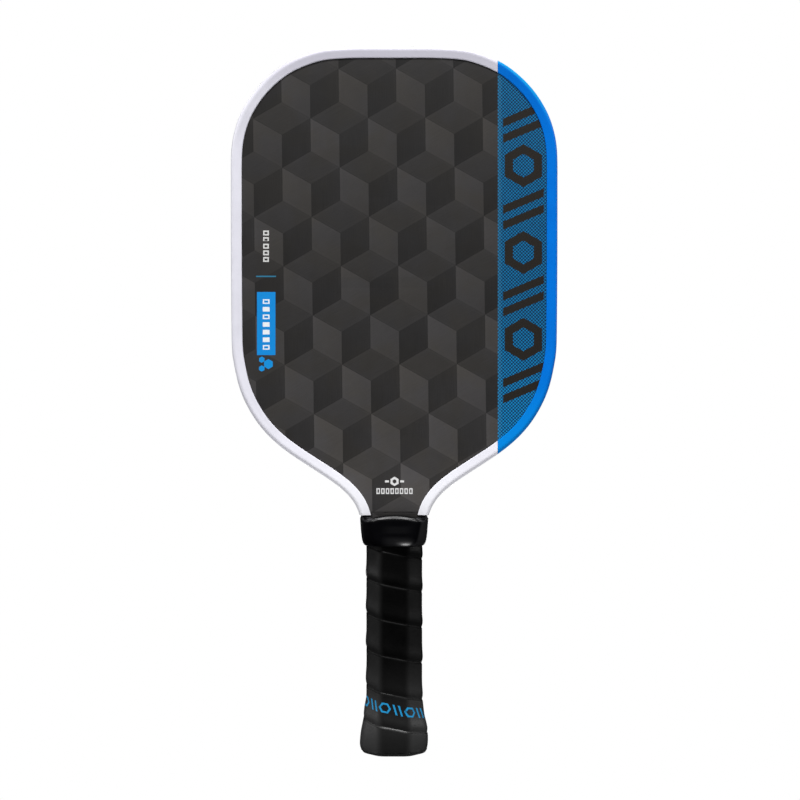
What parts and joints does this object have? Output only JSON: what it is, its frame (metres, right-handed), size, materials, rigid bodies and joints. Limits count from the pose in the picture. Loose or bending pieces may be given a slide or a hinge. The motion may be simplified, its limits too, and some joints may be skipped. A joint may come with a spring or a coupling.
{
  "type": "pickleball paddle",
  "caption": "Elongated pickleball paddle: honeycomb panel with carbon faces, two-colour edge guard, rubber neck collar and a spirally wrapped flared handle.",
  "frame": {"origin": "centre of the flat end of the butt cap, which is the bottom centre of the bounding box", "axes": "+Z from the butt up the handle to the top of the head, +X to the right seen from the front, front striking face looks along -Y"},
  "size_m": [0.1928, 0.0364, 0.4168],
  "materials": {
    "honeycomb": "satin",
    "foam": "matte",
    "carbon": "satin",
    "guard_white": "satin",
    "guard_blue": "satin",
    "handle_shell": "matte",
    "cap_plastic": "satin",
    "staple_steel": "satin",
    "grip": "satin",
    "tape_film": "satin",
    "collar_rubber": "satin"
  },
  "bodies": {
    "root": {"honeycomb_core": "honeycomb", "perimeter_foam": "foam", "front_face_sheet": "carbon", "rear_face_sheet": "carbon", "edge_guard_white": "guard_white", "edge_guard_lower_white": "guard_white", "edge_guard_blue": "guard_blue", "handle_shell_front": "handle_shell", "handle_shell_rear": "handle_shell", "butt_cap": "cap_plastic", "butt_cap_staple_front": "staple_steel", "butt_cap_staple_rear": "staple_steel", "grip_start_staple": "staple_steel", "grip_tape": "grip", "finishing_tape": "tape_film", "neck_collar": "collar_rubber"}
  },
  "joints": []
}
